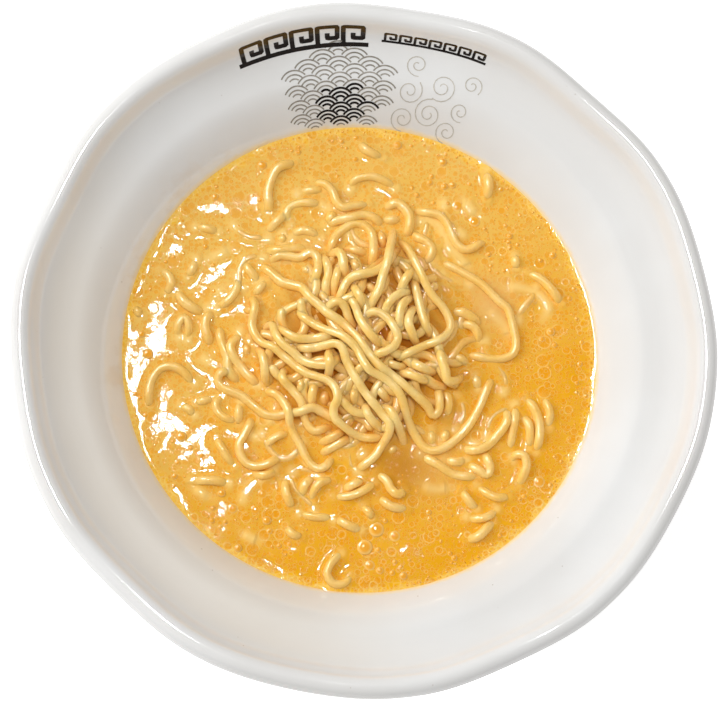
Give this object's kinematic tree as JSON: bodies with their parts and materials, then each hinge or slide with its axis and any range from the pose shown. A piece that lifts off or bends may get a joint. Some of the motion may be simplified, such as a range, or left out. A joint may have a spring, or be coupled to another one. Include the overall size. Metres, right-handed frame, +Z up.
{
  "type": "ramen bowl",
  "caption": "Wide ceramic bowl with a wavy bead rim and a shoulder inside, filled with creamy broth and a heap of curly noodles.",
  "frame": {"origin": "centre of the object's box in plan, in the plane of the foot ring", "axes": "+Z up out of the bowl, +Y towards the printed side of the rim, +X to the right of it"},
  "size_m": [0.2093, 0.2093, 0.078],
  "materials": {
    "glaze": "glossy white glaze",
    "broth": "wet, creamy orange, foamy with a film of oil",
    "noodle": "wet, pale yellow, slightly translucent",
    "ornament": "dark print under the glaze"
  },
  "bodies": {
    "root": {"bowl": "glaze", "broth": "broth", "noodle_heap": "noodle"}
  },
  "joints": []
}
